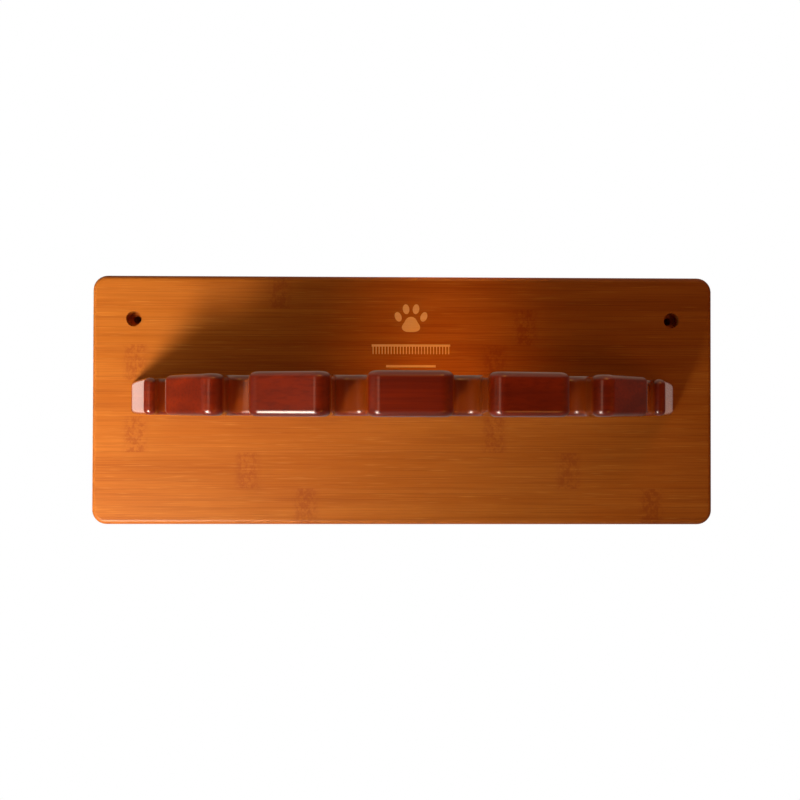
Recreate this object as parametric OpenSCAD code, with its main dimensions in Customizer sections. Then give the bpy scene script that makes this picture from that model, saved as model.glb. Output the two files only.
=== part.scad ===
// Wall-mounted rack for grooming tools: a bamboo back board, and a half-round shelf whose front edge
// is cut into seven flat-faced lobes by the six notches that the tools hang in. The shelf is
// dowelled to the board and screwed on from behind. Millimetres. The origin is the middle of the
// board's back face, which lies on the wall; +X points right, +Y into the wall and +Z up.

/* [Back board] */
// Width of the board
board_w = 300; // [294:1:400]
// Height of the board
board_h = 120; // [100:1:160]
// Thickness of the board
board_t = 16; // [15:0.5:20]
// Radius of the board's four corners
board_corner_r = 7; // [4:0.5:10]
// Radius of the roundover along the board's front edges
board_edge_r = 2.5; // [1:0.5:3.5]

/* [Wall screw holes] */
// Distance of each hole from the nearer end of the board
wall_hole_inset = 20; // [15:1:25]
// Distance of the holes from the top edge of the board
wall_hole_drop = 21; // [15:1:28]
// Diameter of the clearance hole
wall_hole_d = 3.6; // [3:0.1:5]
// Diameter of the counterbore for the screw's head
wall_head_d = 7.4; // [6.5:0.1:10]
// Depth of the counterbore
wall_head_depth = 6.2; // [3:0.1:8]

/* [Tool rack] */
// Width of the shelf where it meets the board
rack_w = 262; // [260:1:266]
// Thickness of the shelf
rack_t = 16; // [15:0.5:18]
// Height of the shelf's middle above the board's middle
rack_rise = 1; // [-5:0.5:5]
// Distance from the board to the face of the middle lobe
middle_lobe_reach = 127; // [124:0.5:130]
// Distance from the board to the inner and the outer side of the next lobe's face
inner_lobe_reach = [121.5, 114.5]; // [112:0.5:124]
// Distance from the board to the inner and the outer side of the lobe's face after that
outer_lobe_reach = [104, 77.5]; // [76:0.5:106]
// Distance from the board to the inner side of the end lobe, if it came to a sharp point
end_lobe_reach = 61; // [60:0.5:64]
// Radius of the lobes' rounded corners
lobe_r = 5; // [3:0.5:5]
// Radius of the end lobes' tips
tip_r = 2.8; // [2.6:0.1:2.8]

/* [Notches] */
// Distance from the middle to the inner, the next and the outer notch
notch_x = [21.3, 63.3, 101.1]; // [21:0.1:102]
// Width of the inner, the next and the outer notch
notch_w = [12.5, 12, 11]; // [11:0.5:13]
// Distance from the board to the bottom of the inner, the next and the outer notch
notch_floor = [86.5, 80, 41]; // [40:0.5:90]
// Radius of the two hollow corners at the bottom of each notch
floor_r = 5; // [1:0.5:5]

/* [Rack fixings] */
// Distance from the middle to the inner and the outer screws
screw_x = [40, 110]; // [36:1:112]
// Diameter of the screws
screw_d = 4; // [3.5:0.5:5]
// Diameter of the screws' countersunk heads
screw_head_d = 8; // [7:0.5:9]
// Length of the screws
screw_l = 38; // [32:1:42]
// Distance from the middle to the dowels
dowel_x = 78; // [60:1:84]
// Diameter of the dowels
dowel_d = 8; // [6:1:8]
// Length of the dowels
dowel_l = 24; // [20:1:28]

/* [Hidden] */
$fn = 96;
overcut = 1;
wall_hole_x = board_w / 2 - wall_hole_inset;
wall_hole_z = board_h / 2 - wall_hole_drop;
// The screws' heads sit this far under the board's back face
head_sink = 0.3;
screw_gap = 0.25;
dowel_gap = 0.05;
dowel_in_board = 0.42 * dowel_l;
socket_end_gap = 0.5;

// Lobe 0 is the middle one and lobe 3 the end one: the x of each one's inner and outer side
lobe_x = [
    [0, notch_x[0] - notch_w[0] / 2],
    [notch_x[0] + notch_w[0] / 2, notch_x[1] - notch_w[1] / 2],
    [notch_x[1] + notch_w[1] / 2, notch_x[2] - notch_w[2] / 2],
    [notch_x[2] + notch_w[2] / 2, rack_w / 2]
];
lobe_reach = [
    [middle_lobe_reach, middle_lobe_reach],
    inner_lobe_reach,
    outer_lobe_reach,
    [end_lobe_reach, 0]
];

function slope(lobe) = (lobe_reach[lobe][1] - lobe_reach[lobe][0]) / (lobe_x[lobe][1] - lobe_x[lobe][0]);
function face_y(lobe, x) = lobe_reach[lobe][0] + slope(lobe) * (x - lobe_x[lobe][0]);
function normal(lobe) = [-slope(lobe), 1] / norm([slope(lobe), 1]);
function corner_r(lobe) = lobe == 3 ? tip_r : lobe_r;

// Centre of a lobe's rounded corner; side is 1 at its inner side and -1 at its outer side
function corner(lobe, side) =
    let (x = lobe_x[lobe][side > 0 ? 0 : 1] + side * corner_r(lobe))
    [x, face_y(lobe, x) - corner_r(lobe) * norm([slope(lobe), 1])];

// The two ends of the bevel at a lobe's inner side, then at its outer side
function lobe_start(lobe) = [
    corner(lobe, 1) - [corner_r(lobe), 0],
    corner(lobe, 1) + corner_r(lobe) * normal(lobe)
];
function lobe_end(lobe) = [
    corner(lobe, -1) + corner_r(lobe) * normal(lobe),
    corner(lobe, -1) + [corner_r(lobe), 0]
];

// The bottom of a notch, with a bevel in each hollow corner
function notch_points(i) = [
    [notch_x[i] - notch_w[i] / 2, notch_floor[i] + floor_r],
    [notch_x[i] - notch_w[i] / 2 + floor_r, notch_floor[i]],
    [notch_x[i] + notch_w[i] / 2 - floor_r, notch_floor[i]],
    [notch_x[i] + notch_w[i] / 2, notch_floor[i] + floor_r]
];

// Runs its children once on the right and once mirrored on the left
module both_sides() {
    children();
    mirror([1, 0, 0]) children();
}

// Stands a shape that lies on its back up against the wall
module stand_up() {
    rotate([90, 0, 0]) children();
}

// Half section of a slab, from its axis out to reach, with its upper rim rounded
module rim_section(reach, t, edge) {
    difference() {
        square([reach, t]);
        translate([reach - edge, t - edge]) rim_waste(edge);
    }
}

// What rounding takes off a square corner of a section
module rim_waste(edge) {
    difference() {
        square(edge + overcut);
        circle(edge);
    }
}

// Extrudes a section, whose height becomes +Z, along +X from 0 to l
module run_along_x(l) {
    rotate([90, 0, 90]) linear_extrude(l) children();
}

module back_board() {
    color("peru") stand_up() difference() {
        board_blank();
        for (x = [-wall_hole_x, wall_hole_x]) translate([x, wall_hole_z, 0]) wall_hole();
        translate([0, rack_rise, 0]) both_sides() {
            for (x = screw_x) translate([x, 0, 0]) screw_hole();
            translate([dowel_x, 0, board_t - dowel_in_board - socket_end_gap])
                cylinder(d = dowel_d + 2 * dowel_gap, h = dowel_in_board + socket_end_gap + overcut);
        }
    }
}

// The board lying on its back, with its front edges rounded
module board_blank() {
    inner_w = board_w - 2 * board_corner_r;
    inner_h = board_h - 2 * board_corner_r;
    translate([-inner_w / 2, 0, 0]) run_along_x(inner_w) {
        rim_section(board_h / 2, board_t, board_edge_r);
        mirror([1, 0]) rim_section(board_h / 2, board_t, board_edge_r);
    }
    both_sides() translate([inner_w / 2, 0, 0]) {
        translate([0, inner_h / 2, 0]) rotate([90, 0, 0]) linear_extrude(inner_h)
            rim_section(board_corner_r, board_t, board_edge_r);
        translate([0, inner_h / 2, 0]) board_corner();
        mirror([0, 1, 0]) translate([0, inner_h / 2, 0]) board_corner();
    }
}

module board_corner() {
    rotate_extrude(angle = 90) rim_section(board_corner_r, board_t, board_edge_r);
}

module wall_hole() {
    translate([0, 0, -overcut]) cylinder(d = wall_hole_d, h = board_t + 2 * overcut);
    translate([0, 0, board_t - wall_head_depth]) cylinder(d = wall_head_d, h = wall_head_depth + overcut);
}

// Clearance hole and countersink for a screw that comes from the board's back
module screw_hole() {
    head_r = screw_head_d / 2 + screw_gap;
    hole_r = screw_d / 2 + screw_gap;
    translate([0, 0, -overcut]) cylinder(r = hole_r, h = board_t + 2 * overcut);
    translate([0, 0, -overcut]) cylinder(r = head_r, h = overcut + head_sink);
    translate([0, 0, head_sink]) cylinder(r1 = head_r, r2 = hole_r, h = head_r - hole_r);
}

module tool_rack() {
    color("saddlebrown") difference() {
        translate([0, -board_t, rack_rise - rack_t / 2]) mirror([0, 1, 0]) rack_shape();
        translate([0, -board_t, rack_rise]) rotate([90, 0, 0]) both_sides() {
            for (x = screw_x) translate([x, 0, -overcut])
                cylinder(d = screw_d + 2 * dowel_gap, h = screw_l - board_t + 2 * overcut);
            translate([dowel_x, 0, -overcut])
                cylinder(d = dowel_d + 2 * dowel_gap, h = dowel_l - dowel_in_board + socket_end_gap + overcut);
        }
    }
}

// The shelf lying on its lower face, with its back edge on the X axis and its lobes towards +Y
module rack_shape() {
    difference() {
        union() {
            linear_extrude(rack_t) bevelled_outline();
            both_sides() {
                for (lobe = [0:2]) lobe_corner(lobe, -1);
                for (lobe = [1:3]) lobe_corner(lobe, 1);
            }
        }
        both_sides() for (i = [0:2]) notch_corners(i);
    }
}

// The shelf's outline, with a bevel where each rounded or hollow corner goes
module bevelled_outline() {
    right = concat(
        lobe_end(0),
        notch_points(0),
        lobe_start(1),
        lobe_end(1),
        notch_points(1),
        lobe_start(2),
        lobe_end(2),
        notch_points(2),
        lobe_start(3),
        [[rack_w / 2, 0]]
    );
    left = [for (i = [len(right) - 1:-1:0]) [-right[i][0], right[i][1]]];
    polygon(concat(right, left));
}

module lobe_corner(lobe, side) {
    translate(corner(lobe, side)) cylinder(r = corner_r(lobe), h = rack_t);
}

module notch_corners(i) {
    corner_x = notch_w[i] / 2 - floor_r;
    translate([notch_x[i], notch_floor[i] + floor_r, -overcut])
        for (x = [-corner_x, corner_x]) translate([x, 0, 0])
            cylinder(r = floor_r, h = rack_t + 2 * overcut);
}

module rack_screws() {
    color("silver") translate([0, 0, rack_rise]) stand_up()
        for (x = [-screw_x[1], -screw_x[0], screw_x[0], screw_x[1]])
            translate([x, 0, head_sink]) countersunk_screw();
}

// A wood screw with its head's flat face down at z = 0 and its point up
module countersunk_screw() {
    head_r = screw_head_d / 2;
    shank_r = screw_d / 2;
    rim = 0.3;
    slot = [screw_head_d * 0.55, screw_head_d * 0.14];
    slot_depth = 1.6;
    difference() {
        rotate_extrude() polygon([
            [0, 0],
            [head_r - rim, 0],
            [head_r, rim],
            [shank_r, rim + head_r - shank_r],
            [shank_r, screw_l - head_sink - 2 * shank_r],
            [0, screw_l - head_sink]
        ]);
        for (turn = [45, 135]) translate([0, 0, slot_depth / 2 - overcut / 2]) rotate(turn)
            cube([slot[0], slot[1], slot_depth + overcut], center = true);
    }
}

module locating_dowels() {
    color("burlywood") translate([0, -board_t + dowel_in_board, rack_rise]) stand_up()
        for (x = [-dowel_x, dowel_x]) translate([x, 0, 0]) dowel();
}

module dowel() {
    chamfer = 0.8;
    rotate_extrude() polygon([
        [0, 0],
        [dowel_d / 2 - chamfer, 0],
        [dowel_d / 2, chamfer],
        [dowel_d / 2, dowel_l - chamfer],
        [dowel_d / 2 - chamfer, dowel_l],
        [0, dowel_l]
    ]);
}

back_board();
tool_rack();
rack_screws();
locating_dowels();
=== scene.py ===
"""Looks for a wall-mounted grooming tool rack: bamboo board, lacquered shelf, screws and dowels."""

import math

import bmesh
import bpy
from mathutils import Matrix, Vector


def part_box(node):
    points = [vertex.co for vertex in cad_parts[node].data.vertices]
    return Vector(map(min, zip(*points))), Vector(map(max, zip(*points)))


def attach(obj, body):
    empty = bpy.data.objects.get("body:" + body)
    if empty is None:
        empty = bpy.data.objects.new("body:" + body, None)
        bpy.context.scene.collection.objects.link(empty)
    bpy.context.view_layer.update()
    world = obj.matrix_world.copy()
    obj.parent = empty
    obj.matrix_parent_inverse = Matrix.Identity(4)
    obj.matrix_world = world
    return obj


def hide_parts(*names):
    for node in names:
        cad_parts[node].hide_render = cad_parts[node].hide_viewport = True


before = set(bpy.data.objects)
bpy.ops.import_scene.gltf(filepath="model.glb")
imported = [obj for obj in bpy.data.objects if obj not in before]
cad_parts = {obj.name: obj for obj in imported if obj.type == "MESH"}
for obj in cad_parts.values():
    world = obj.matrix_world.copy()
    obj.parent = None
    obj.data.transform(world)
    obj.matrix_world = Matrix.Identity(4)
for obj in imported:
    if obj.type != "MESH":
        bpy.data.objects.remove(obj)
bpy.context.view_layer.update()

MM = 0.001

# The shelf's plan in millimetres: x from the middle, reach out from the board's face
NOTCH_X = (21.3, 63.3, 101.1)
NOTCH_W = (12.5, 12.0, 11.0)
NOTCH_FLOOR = (86.5, 80.0, 41.0)
FLOOR_R = 5.0
LOBE_REACH = ((127.0, 127.0), (121.5, 114.5), (104.0, 77.5), (61.0, 0.0))
LOBE_R = 5.0
TIP_R = 2.8
RIM_R = 2.5
RIM_STEPS = 7
CORNER_STEPS = 10

# Bamboo strips of the board
STRIP_H = 17.35 * MM
KNUCKLE_HALF_W = 4.5 * MM
# strip counted from the board's bottom edge, x of the knuckle in millimetres
KNUCKLES = (
    (0, -47), (0, 120),
    (1, -75), (1, 80),
    (2, -129), (2, 44),
    (4, -129), (4, 44),
    (5, 59), (6, -60),
)

# The mark on the board, in millimetres from the board's middle
MARK_X = 3.5
PAW_Z = 39.5
COMB_Z = 26.5
COMB_W = 38.0
COMB_TEETH = 26
TOOTH_H = 3.6
RULE_Z = 16.5
RULE_W = 24.0
STROKE = 0.55
MARK_PROUD = 0.04
MARK_DEEP = 0.2

# Wall holes, in millimetres from the board's end and top, and the dark discs of painted shade behind them
HOLE_INSET = 20.0
HOLE_DROP = 21.0
SHADE_R = 2.3
SHADE_GAP = 0.5

# Light colours
WHITE = (0.86, 0.97, 1.0)
WARM = (1.0, 0.92, 0.74)
AMBER = (1.0, 0.44, 0.07)
PALE = (1.0, 0.86, 0.8)
PEACH = (1.0, 0.62, 0.42)

# Where the lights stand and what they point at, in metres
KEY_PLACE, KEY_TARGET = (-0.34, -0.45, -0.40), (-0.21, 0.0, 0.0)
KEY_SPREAD = math.radians(60)
STREAK_PLACE, STREAK_TARGET = (-0.27, -0.47, -0.40), (-0.04, -0.12, 0.0)
STRIP_PLACE, STRIP_TARGET = (-0.19, -0.58, -0.06), (-0.02, -0.1, 0.0)
SIDE_PLACE, SIDE_TARGET = (-0.6, -0.28, -0.1), (-0.15, 0, 0)
FRONT_TARGET = (0.0, -0.1, 0)
SPOT_PLACE, SPOT_TARGET = (0.02, -0.22, 0.30), (0.018, -0.016, 0.004)
SPOT_CONE = 17.0
SPOT_RADIUS = 0.03
# side of the shelf, brightness and colour of the glow by its end
END_GLOWS = ((-1, 0.62, WHITE), (1, 0.19, PALE))
GLOW_HEIGHT = 1.8

FLOOR_SIZE = 4.0
FLOOR_Z = -0.62

# Surroundings: strength against the direction, from the front round to the back, and from above
AROUND_COLOR = (1.0, 0.72, 0.52, 1)
ROUND_FROM, ROUND_TO, ROUND_LOW, ROUND_HIGH = -0.35, 0.3, 0.015, 0.08
ABOVE_FROM, ABOVE_TO, ABOVE_HIGH = 0.25, 0.85, 0.72

# Camera, in millimetres and radians, measured from the board's middle and front face
CAMERA_X = -8.22
CAMERA_Z = -4.41
CAMERA_DISTANCE = 424.5
CAMERA_YAW = 0.0153
CAMERA_PITCH = 0.0108
CAMERA_ROLL = 0.0025
CAMERA_LENS = 39.55
SENSOR = 36.0


# ---------------------------------------------------------------- shader helpers

class Shader:
    """Small helper that builds one node material."""

    def __init__(self, name):
        self.material = bpy.data.materials.new(name)
        self.material.use_nodes = True
        self.tree = self.material.node_tree
        self.bsdf = self.tree.nodes["Principled BSDF"]

    def put(self, target, value):
        if isinstance(value, bpy.types.NodeSocket):
            self.tree.links.new(value, target)
        else:
            target.default_value = value

    def node(self, kind, **settings):
        made = self.tree.nodes.new(kind)
        for key, value in settings.items():
            setattr(made, key, value)
        return made

    def math(self, operation, a, b=0.0, c=0.0):
        made = self.node("ShaderNodeMath", operation=operation)
        for target, value in zip(made.inputs, (a, b, c)):
            self.put(target, value)
        return made.outputs[0]

    def smooth(self, value, low, high):
        made = self.node("ShaderNodeMapRange", interpolation_type="SMOOTHSTEP")
        self.put(made.inputs["Value"], value)
        made.inputs["From Min"].default_value = low
        made.inputs["From Max"].default_value = high
        return made.outputs[0]

    def axes(self):
        coords = self.node("ShaderNodeTexCoord").outputs["Object"]
        split = self.node("ShaderNodeSeparateXYZ")
        self.put(split.inputs[0], coords)
        return coords, split.outputs

    def noise(self, vector, stretch, detail=3.0, roughness=0.55):
        scaled = self.node("ShaderNodeVectorMath", operation="MULTIPLY")
        self.put(scaled.inputs[0], vector)
        scaled.inputs[1].default_value = stretch
        made = self.node("ShaderNodeTexNoise")
        self.put(made.inputs["Vector"], scaled.outputs[0])
        made.inputs["Scale"].default_value = 1.0
        made.inputs["Detail"].default_value = detail
        made.inputs["Roughness"].default_value = roughness
        return made.outputs[0]

    def random(self, value, shift=0.0):
        made = self.node("ShaderNodeTexWhiteNoise", noise_dimensions="1D")
        self.put(made.inputs["W"], self.math("ADD", value, shift))
        return made.outputs["Value"]

    def mix(self, factor, a, b):
        made = self.node("ShaderNodeMix", data_type="RGBA")
        self.put(made.inputs["Factor"], factor)
        self.put(made.inputs["A"], a)
        self.put(made.inputs["B"], b)
        return made.outputs["Result"]

    def bump(self, height, strength, distance):
        made = self.node("ShaderNodeBump")
        self.put(made.inputs["Height"], height)
        made.inputs["Strength"].default_value = strength
        made.inputs["Distance"].default_value = distance
        self.put(self.bsdf.inputs["Normal"], made.outputs[0])

    def finish(self, color, roughness, metallic=0.0, coat=0.0, coat_roughness=0.1):
        self.put(self.bsdf.inputs["Base Color"], color)
        self.put(self.bsdf.inputs["Roughness"], roughness)
        self.bsdf.inputs["Metallic"].default_value = metallic
        self.bsdf.inputs["Coat Weight"].default_value = coat
        self.bsdf.inputs["Coat Roughness"].default_value = coat_roughness
        return self.material


def board_material():
    sh = Shader("bamboo_board")
    coords, (x, _y, z) = sh.axes()
    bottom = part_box("back_board")[0].z
    level = sh.math("DIVIDE", sh.math("SUBTRACT", z, bottom), STRIP_H)
    strip = sh.math("FLOOR", level)
    # each strip's fibres start somewhere else along the board
    shift = sh.node("ShaderNodeCombineXYZ")
    sh.put(shift.inputs[0], sh.math("MULTIPLY", sh.random(strip), 3.0))
    moved = sh.node("ShaderNodeVectorMath", operation="ADD")
    sh.put(moved.inputs[0], coords)
    sh.put(moved.inputs[1], shift.outputs[0])
    moved = moved.outputs[0]

    broad = sh.noise(moved, (9.0, 90.0, 90.0), 2.0)
    fibre = sh.noise(moved, (16.0, 1900.0, 1900.0), 4.0, 0.7)
    dash = sh.noise(moved, (60.0, 2600.0, 2600.0), 1.0)
    tint = sh.random(strip, 7.0)

    color = sh.mix(sh.smooth(broad, 0.3, 0.7), (0.42, 0.108, 0.008, 1), (0.51, 0.150, 0.017, 1))
    color = sh.mix(sh.math("MULTIPLY", tint, 0.35), color, (0.40, 0.095, 0.009, 1))
    color = sh.mix(sh.math("MULTIPLY", sh.smooth(fibre, 0.42, 0.68), 0.5), color, (0.25, 0.05, 0.004, 1))
    color = sh.mix(sh.math("MULTIPLY", sh.smooth(dash, 0.6, 0.8), 0.4), color, (0.68, 0.27, 0.05, 1))

    # knuckles: a darker, mottled patch as high as one strip
    spots = None
    for row, middle in KNUCKLES:
        across = sh.math("ABSOLUTE", sh.math("SUBTRACT", x, middle * MM))
        band = sh.smooth(across, KNUCKLE_HALF_W * 1.7, KNUCKLE_HALF_W * 0.5)
        on_strip = sh.math("COMPARE", strip, float(row), 0.5)
        spot = sh.math("MULTIPLY", band, on_strip)
        spots = spot if spots is None else sh.math("MAXIMUM", spots, spot)
    mottle = sh.noise(moved, (500.0, 900.0, 420.0), 3.0, 0.7)
    spots = sh.math("MULTIPLY", spots, sh.smooth(mottle, 0.36, 0.62))
    color = sh.mix(sh.math("MULTIPLY", spots, 0.55), color, (0.27, 0.045, 0.006, 1))

    seam = sh.math("ABSOLUTE", sh.math("SUBTRACT", sh.math("FRACT", level), 0.5))
    seam = sh.smooth(seam, 0.485, 0.5)
    color = sh.mix(sh.math("MULTIPLY", seam, 0.25), color, (0.27, 0.05, 0.005, 1))
    sh.bump(fibre, 0.12, 0.0002)
    roughness = sh.math("MULTIPLY_ADD", fibre, 0.12, 0.36)
    sh.bsdf.inputs["Specular IOR Level"].default_value = 0.25
    return sh.finish(color, roughness, coat=0.05, coat_roughness=0.25)


def rack_material():
    sh = Shader("lacquered_rack")
    coords, (x, _y, _z) = sh.axes()
    broad = sh.noise(coords, (14.0, 70.0, 120.0), 2.0)
    fibre = sh.noise(coords, (24.0, 900.0, 900.0), 3.0, 0.6)
    color = sh.mix(sh.smooth(broad, 0.3, 0.72), (0.125, 0.009, 0.0005, 1), (0.205, 0.0165, 0.0007, 1))
    color = sh.mix(sh.math("MULTIPLY", sh.smooth(fibre, 0.4, 0.7), 0.4), color, (0.055, 0.003, 0.0004, 1))
    # painted light: the upright walls and floors inside the notches are coloured a lighter orange, standing
    # in for warm light bounced into the notches
    across = sh.math("ABSOLUTE", x)
    notch_light_mask = None
    for middle, width in zip(NOTCH_X, NOTCH_W):
        off = sh.math("ABSOLUTE", sh.math("SUBTRACT", across, middle * MM))
        band = sh.smooth(off, (width / 2 + 0.8) * MM, (width / 2 + 0.1) * MM)
        notch_light_mask = band if notch_light_mask is None else sh.math("MAXIMUM", notch_light_mask, band)
    split = sh.node("ShaderNodeSeparateXYZ")
    sh.put(split.inputs[0], sh.node("ShaderNodeNewGeometry").outputs["Normal"])
    upright = sh.smooth(sh.math("ABSOLUTE", split.outputs[2]), 0.8, 0.2)
    # painted bounce light in the notches, on upright faces only
    color = sh.mix(sh.math("MULTIPLY", notch_light_mask, upright), color, (0.27, 0.042, 0.001, 1))
    sh.bump(broad, 0.05, 0.0003)
    sh.bsdf.inputs["Specular IOR Level"].default_value = 0.2
    return sh.finish(color, 0.35, coat=1.0, coat_roughness=0.13)


def screw_material():
    sh = Shader("zinc_screws")
    coords, _ = sh.axes()
    grain = sh.noise(coords, (900.0, 900.0, 900.0), 2.0)
    color = sh.mix(grain, (0.5, 0.5, 0.48, 1), (0.72, 0.71, 0.68, 1))
    return sh.finish(color, sh.math("MULTIPLY_ADD", grain, 0.15, 0.25), metallic=1.0)


def dowel_material():
    sh = Shader("beech_dowels")
    coords, _ = sh.axes()
    grain = sh.noise(coords, (1400.0, 60.0, 1400.0), 2.0)
    color = sh.mix(grain, (0.5, 0.31, 0.15, 1), (0.7, 0.5, 0.3, 1))
    return sh.finish(color, 0.6)


def mark_material():
    sh = Shader("pale_mark")
    coords, _ = sh.axes()
    grain = sh.noise(coords, (60.0, 1500.0, 1500.0), 2.0)
    color = sh.mix(grain, (0.78, 0.42, 0.16, 1), (0.95, 0.62, 0.3, 1))
    return sh.finish(color, 0.55)


# ---------------------------------------------------------------- rack

def lobe_side(lobe, outer):
    """x of a lobe's inner or outer side."""
    if outer:
        return NOTCH_X[lobe] - NOTCH_W[lobe] / 2
    return NOTCH_X[lobe - 1] + NOTCH_W[lobe - 1] / 2 if lobe else 0.0


def lobe_slope(lobe, half_w):
    start = lobe_side(lobe, False)
    end = half_w if lobe == 3 else lobe_side(lobe, True)
    return (LOBE_REACH[lobe][1] - LOBE_REACH[lobe][0]) / (end - start)


def corner(lobe, side, half_w):
    """Centre of a lobe's rounded corner; side is 1 at its inner side and -1 at its outer side."""
    r = TIP_R if lobe == 3 else LOBE_R
    slope = lobe_slope(lobe, half_w)
    x = lobe_side(lobe, side < 0) + side * r
    face = LOBE_REACH[lobe][0] + slope * (x - lobe_side(lobe, False))
    return Vector((x, face - r * math.hypot(slope, 1)))


def arc(centre, r, start, end):
    """Points round a corner, from bearing start to bearing end in degrees."""
    points = []
    for i in range(CORNER_STEPS + 1):
        a = math.radians(start + (end - start) * i / CORNER_STEPS)
        points.append(centre + r * Vector((math.cos(a), math.sin(a))))
    return points


def rack_outline(inset, half_w):
    """The shelf's outline moved inwards, from the middle lobe round to the right and back along the left."""
    right = []
    for lobe in range(4):
        r = (TIP_R if lobe == 3 else LOBE_R) - inset
        bearing = 90 + math.degrees(math.atan(lobe_slope(lobe, half_w)))
        if lobe:
            right += arc(corner(lobe, 1, half_w), r, 180, bearing)
        if lobe == 3:
            break
        right += arc(corner(lobe, -1, half_w), r, bearing, 0)
        for side, start in ((-1, 180), (1, 270)):
            centre = Vector((
                NOTCH_X[lobe] + side * (NOTCH_W[lobe] / 2 - FLOOR_R),
                NOTCH_FLOOR[lobe] + FLOOR_R,
            ))
            right += arc(centre, FLOOR_R + inset, start, start + 90)
    last = right[-1]
    right.append(Vector((last.x - last.y / lobe_slope(3, half_w), 0.0)))
    return right + [Vector((-p.x, p.y)) for p in reversed(right)]


def link_mesh(name, bm, material):
    mesh = bpy.data.meshes.new(name)
    bm.to_mesh(mesh)
    bm.free()
    obj = bpy.data.objects.new(name, mesh)
    bpy.context.scene.collection.objects.link(obj)
    obj.data.materials.append(material)
    return obj


def build_rack(material):
    low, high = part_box("tool_rack")
    half_w = high.x / MM
    rings = []
    for upper in (False, True):
        for k in range(RIM_STEPS + 1):
            a = math.pi / 2 * (RIM_STEPS - k if upper else k) / RIM_STEPS
            inset = RIM_R * (1 - math.sin(a))
            rise = RIM_R * MM * (1 - math.cos(a))
            z = high.z - rise if upper else low.z + rise
            rings.append((inset, z))
    bm = bmesh.new()
    loops = []
    for inset, z in rings:
        outline = rack_outline(inset, half_w)
        loops.append([bm.verts.new((p.x * MM, high.y - p.y * MM, z)) for p in outline])
    count = len(loops[0])
    for below, above in zip(loops, loops[1:]):
        for i in range(count):
            j = (i + 1) % count
            bm.faces.new((below[i], below[j], above[j], above[i]))
    bm.faces.new(loops[0][::-1])
    bm.faces.new(loops[-1])
    bmesh.ops.recalc_face_normals(bm, faces=bm.faces)
    for face in bm.faces:
        face.smooth = True
    for edge in bm.edges:
        edge.smooth = edge.calc_face_angle(0) < math.radians(40)
    rack = link_mesh("rounded_rack", bm, material)
    weighted = rack.modifiers.new("even_normals", "WEIGHTED_NORMAL")
    weighted.keep_sharp = True
    weighted.weight = 100
    return rack


# ---------------------------------------------------------------- mark

def ellipse(x, z, half_w, half_h, turn, steps=36):
    turn = math.radians(turn)
    points = []
    for i in range(steps):
        a = 2 * math.pi * i / steps
        u, v = half_w * math.cos(a), half_h * math.sin(a)
        points.append((
            x + u * math.cos(turn) - v * math.sin(turn),
            z + u * math.sin(turn) + v * math.cos(turn),
        ))
    return points


def pad(x, z, r, steps=60):
    """A paw's main pad: wide below, narrower above."""
    points = []
    for i in range(steps):
        a = 2 * math.pi * i / steps
        reach = r * (1 + 0.13 * math.cos(3 * (a - math.pi / 2)) - 0.05 * math.cos(2 * a))
        points.append((x + 1.12 * reach * math.cos(a), z + 0.9 * reach * math.sin(a)))
    return points


def bar(x, z, w, h):
    return [(x - w / 2, z - h / 2), (x + w / 2, z - h / 2), (x + w / 2, z + h / 2), (x - w / 2, z + h / 2)]


def build_mark(material):
    face_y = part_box("back_board")[0].y
    shapes = [pad(MARK_X, PAW_Z - 3.2, 3.9)]
    for dx, dz, turn in ((-6.2, 0.9, 22), (-2.4, 4.6, 8), (2.4, 4.6, -8), (6.2, 0.9, -22)):
        shapes.append(ellipse(MARK_X + dx, PAW_Z + dz, 1.6, 2.4, turn))
    shapes.append(bar(MARK_X, COMB_Z, COMB_W, 2 * STROKE))
    for i in range(COMB_TEETH):
        x = MARK_X + COMB_W * ((i + 0.5) / COMB_TEETH - 0.5)
        shapes.append(bar(x, COMB_Z - STROKE - TOOTH_H / 2, STROKE, TOOTH_H))
    shapes.append(bar(MARK_X, RULE_Z, RULE_W, 2 * STROKE))
    bm = bmesh.new()
    for points in shapes:
        front = [bm.verts.new((x * MM, face_y - MARK_PROUD * MM, z * MM)) for x, z in points]
        back = [bm.verts.new((x * MM, face_y + MARK_DEEP * MM, z * MM)) for x, z in points]
        bm.faces.new(front)
        bm.faces.new(back[::-1])
        for i in range(len(points)):
            j = (i + 1) % len(points)
            bm.faces.new((front[i], back[i], back[j], front[j]))
    bmesh.ops.recalc_face_normals(bm, faces=bm.faces)
    return link_mesh("board_mark", bm, material)


# ---------------------------------------------------------------- stage, lights, camera

def place_light(name, data, place, target, power, color):
    data.energy = power
    data.color = color
    light = bpy.data.objects.new(name, data)
    light.location = place
    light.rotation_euler = (Vector(target) - Vector(place)).to_track_quat("-Z", "Y").to_euler()
    bpy.context.scene.collection.objects.link(light)
    return light


def area_light(name, place, target, size, power, color, height=None):
    data = bpy.data.lights.new(name, "AREA")
    data.shape = "RECTANGLE"
    data.size = size
    data.size_y = height or size
    return place_light(name, data, place, target, power, color)


def shelf_light(name, place, target, size, power, color, height=None):
    """An area light that reaches the shelf alone."""
    light = area_light(name, place, target, size, power, color, height)
    light.light_linking.receiver_collection = shelf_only
    return light


def middle_spot():
    data = bpy.data.lights.new("middle_spot", "SPOT")
    data.spot_size = math.radians(SPOT_CONE)
    data.spot_blend = 1.0
    data.shadow_soft_size = SPOT_RADIUS
    place_light("middle_spot", data, SPOT_PLACE, SPOT_TARGET, 4.7, AMBER)


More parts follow.
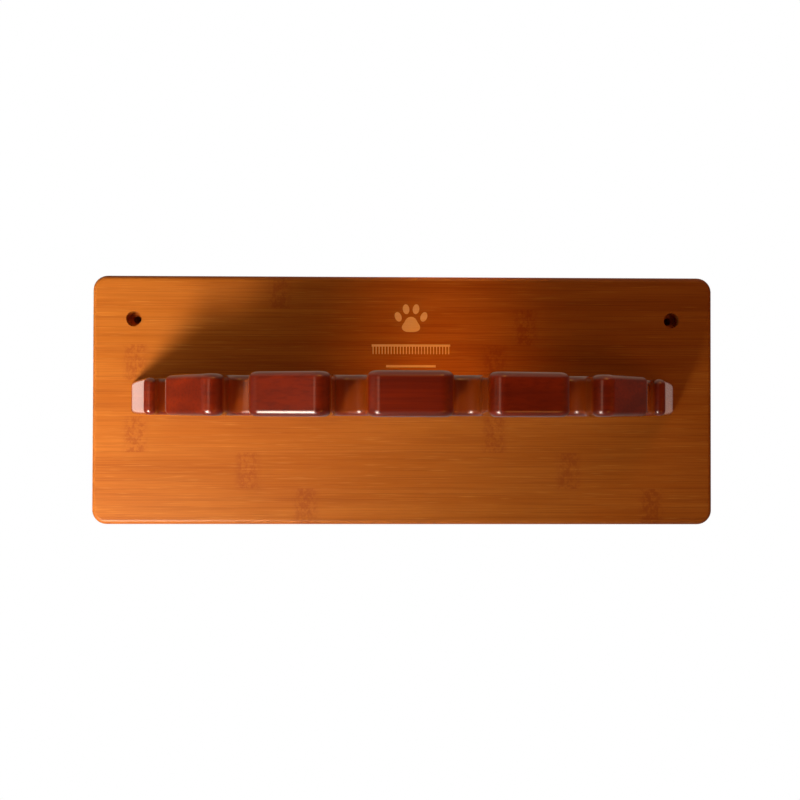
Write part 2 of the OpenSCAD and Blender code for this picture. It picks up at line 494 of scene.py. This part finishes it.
def add_end_glows():
    """Pale reflections in the shelf's two end faces, which look back along the board."""
    low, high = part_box("tool_rack")
    middle = (low.z + high.z) / 2
    board_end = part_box("back_board")[1].x
    width = board_end - high.x
    for side, strength, color in END_GLOWS:
        x = side * (board_end + high.x) / 2
        place = (x, high.y - MM, middle)
        height = GLOW_HEIGHT * (high.z - low.z)
        power = strength * math.pi * width * height
        glow = shelf_light(f"end_glow_{side}", place, (x, -1, middle), width, power, color, height)
        glow.visible_camera = False


def smooth_ramp(tree, value, low, high, to_low, to_high):
    made = tree.nodes.new("ShaderNodeMapRange")
    made.interpolation_type = "SMOOTHSTEP"
    tree.links.new(value, made.inputs["Value"])
    made.inputs["From Min"].default_value = low
    made.inputs["From Max"].default_value = high
    made.inputs["To Min"].default_value = to_low
    made.inputs["To Max"].default_value = to_high
    return made.outputs[0]


def build_world():
    """White to the camera; to everything else dim in front, brighter behind, and bright above in gloss."""
    world = bpy.data.worlds.new("studio")
    bpy.context.scene.world = world
    world.use_nodes = True
    tree = world.node_tree
    tree.nodes.clear()
    out = tree.nodes.new("ShaderNodeOutputWorld")
    seen = tree.nodes.new("ShaderNodeBackground")
    seen.inputs["Color"].default_value = (1, 1, 1, 1)
    seen.inputs["Strength"].default_value = 1.0
    around = tree.nodes.new("ShaderNodeBackground")
    around.inputs["Color"].default_value = AROUND_COLOR
    coords = tree.nodes.new("ShaderNodeTexCoord")
    split = tree.nodes.new("ShaderNodeSeparateXYZ")
    tree.links.new(coords.outputs["Generated"], split.inputs[0])
    behind = smooth_ramp(tree, split.outputs[1], ROUND_FROM, ROUND_TO, ROUND_LOW, ROUND_HIGH)
    above = smooth_ramp(tree, split.outputs[2], ABOVE_FROM, ABOVE_TO, 0.0, ABOVE_HIGH)
    path = tree.nodes.new("ShaderNodeLightPath")
    total = tree.nodes.new("ShaderNodeMath")
    total.operation = "MULTIPLY_ADD"
    tree.links.new(above, total.inputs[0])
    tree.links.new(path.outputs["Is Glossy Ray"], total.inputs[1])
    tree.links.new(behind, total.inputs[2])
    tree.links.new(total.outputs[0], around.inputs["Strength"])
    mix = tree.nodes.new("ShaderNodeMixShader")
    tree.links.new(path.outputs["Is Camera Ray"], mix.inputs[0])
    tree.links.new(around.outputs[0], mix.inputs[1])
    tree.links.new(seen.outputs[0], mix.inputs[2])
    tree.links.new(mix.outputs[0], out.inputs[0])


def build_floor():
    bm = bmesh.new()
    signs = ((-1, -1), (1, -1), (1, 1), (-1, 1))
    bm.faces.new([bm.verts.new((u * FLOOR_SIZE, v * FLOOR_SIZE, FLOOR_Z)) for u, v in signs])
    sh = Shader("pale_floor")
    sh.finish((0.8, 0.8, 0.8, 1), 0.9)
    glow = sh.node("ShaderNodeEmission")
    glow.inputs["Color"].default_value = (1, 1, 1, 1)
    path = sh.node("ShaderNodeLightPath")
    mix = sh.node("ShaderNodeMixShader")
    out = sh.tree.nodes["Material Output"]
    sh.put(mix.inputs[0], path.outputs["Is Camera Ray"])
    sh.put(mix.inputs[1], sh.bsdf.outputs[0])
    sh.put(mix.inputs[2], glow.outputs[0])
    sh.put(out.inputs["Surface"], mix.outputs[0])
    floor = link_mesh("floor", bm, sh.material)


def build_lights():
    """The key and fills, the shelf's own lights, and one light for the board's back."""
    key = area_light("low_left_key", KEY_PLACE, KEY_TARGET, 0.25, 1.02, WARM)
    key.data.spread = KEY_SPREAD
    streak = shelf_light("rim_streak", STREAK_PLACE, STREAK_TARGET, 0.3, 2.4, PALE, 0.62)
    strip = shelf_light("left_strip", STRIP_PLACE, STRIP_TARGET, 0.14, 0.26, PEACH, 0.45)
    side = area_light("left_side", SIDE_PLACE, SIDE_TARGET, 0.25, 1.6, WHITE, 0.4)
    left = shelf_light("left_front", (-0.45, -0.42, 0.0), FRONT_TARGET, 0.22, 1.1, AMBER)
    right = shelf_light("right_front", (0.5, -0.35, 0.0), FRONT_TARGET, 0.22, 0.7, AMBER)
    shine = shelf_light("edge_shine", SIDE_PLACE, SIDE_TARGET, 0.4, 0.14, PALE)
    for light in (streak, strip, shine):
        light.visible_diffuse = False
    for light in (side, left, right):
        light.visible_glossy = False
    back = area_light("back_fill", (0.0, 1.3, 0.0), (0, 0, 0), 0.5, 9.0, (1, 1, 1))
    back.visible_camera = False
    area_light("low_right_fill", (0.45, -0.75, -0.35), (0.0, 0, 0), 0.3, 0.55, AMBER)
    area_light("top_right_fill", (0.25, -0.7, 0.55), (0.08, 0.0, 0.03), 0.3, 0.8, AMBER)
    area_light("front_fill", (0.0, -1.4, 0.9), (0.0, 0, 0), 0.8, 0.9, AMBER)
    middle_spot()


def build_wall_shade():
    """Painted shade seen through the two wall holes: dark discs from the front, clear from behind."""
    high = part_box("back_board")[1]
    y = high.y + SHADE_GAP * MM
    z = high.z - HOLE_DROP * MM
    bm = bmesh.new()
    for side in (-1, 1):
        x = side * (high.x - HOLE_INSET * MM)
        disc = ellipse(x, z, SHADE_R * MM, SHADE_R * MM, 0)
        bm.faces.new([bm.verts.new((u, y, v)) for u, v in disc])
    sh = Shader("wall_shade")
    # near-black colour, painted shade for the inside of the holes
    sh.finish((0.012, 0.009, 0.007, 1), 1.0)
    side = sh.node("ShaderNodeNewGeometry")
    clear = sh.node("ShaderNodeBsdfTransparent")
    mix = sh.node("ShaderNodeMixShader")
    sh.put(mix.inputs[0], side.outputs["Backfacing"])
    sh.put(mix.inputs[1], sh.bsdf.outputs[0])
    sh.put(mix.inputs[2], clear.outputs[0])
    sh.put(sh.tree.nodes["Material Output"].inputs["Surface"], mix.outputs[0])
    link_mesh("wall_shade", bm, sh.material)


def build_camera():
    data = bpy.data.cameras.new("camera")
    data.lens = CAMERA_LENS
    data.sensor_width = SENSOR
    camera = bpy.data.objects.new("camera", data)
    bpy.context.scene.collection.objects.link(camera)
    forward = Vector((
        math.sin(CAMERA_YAW) * math.cos(CAMERA_PITCH),
        math.cos(CAMERA_YAW) * math.cos(CAMERA_PITCH),
        math.sin(CAMERA_PITCH),
    ))
    right = Vector((math.cos(CAMERA_YAW), -math.sin(CAMERA_YAW), 0))
    up = right.cross(forward)
    c, s = math.cos(CAMERA_ROLL), math.sin(CAMERA_ROLL)
    right, up = c * right + s * up, c * up - s * right
    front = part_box("back_board")[0].y
    place = Vector((CAMERA_X * MM, front - CAMERA_DISTANCE * MM, CAMERA_Z * MM))
    turn = Matrix((right, up, -forward)).transposed()
    camera.matrix_world = Matrix.Translation(place) @ turn.to_4x4()
    bpy.context.scene.camera = camera


def dress(node, material):
    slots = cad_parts[node].data.materials
    slots.clear()
    slots.append(material)


dress("back_board", board_material())
dress("rack_screws", screw_material())
dress("locating_dowels", dowel_material())
rack_look = rack_material()
dress("tool_rack", rack_look)

rack = build_rack(rack_look)
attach(rack, "root")
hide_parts("tool_rack")

mark = build_mark(mark_material())
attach(mark, "root")

build_world()
build_floor()

shelf_only = bpy.data.collections.new("shelf_only")
shelf_only.objects.link(rack)
build_lights()
add_end_glows()
build_wall_shade()
build_camera()
bpy.context.scene.view_settings.view_transform = "Standard"
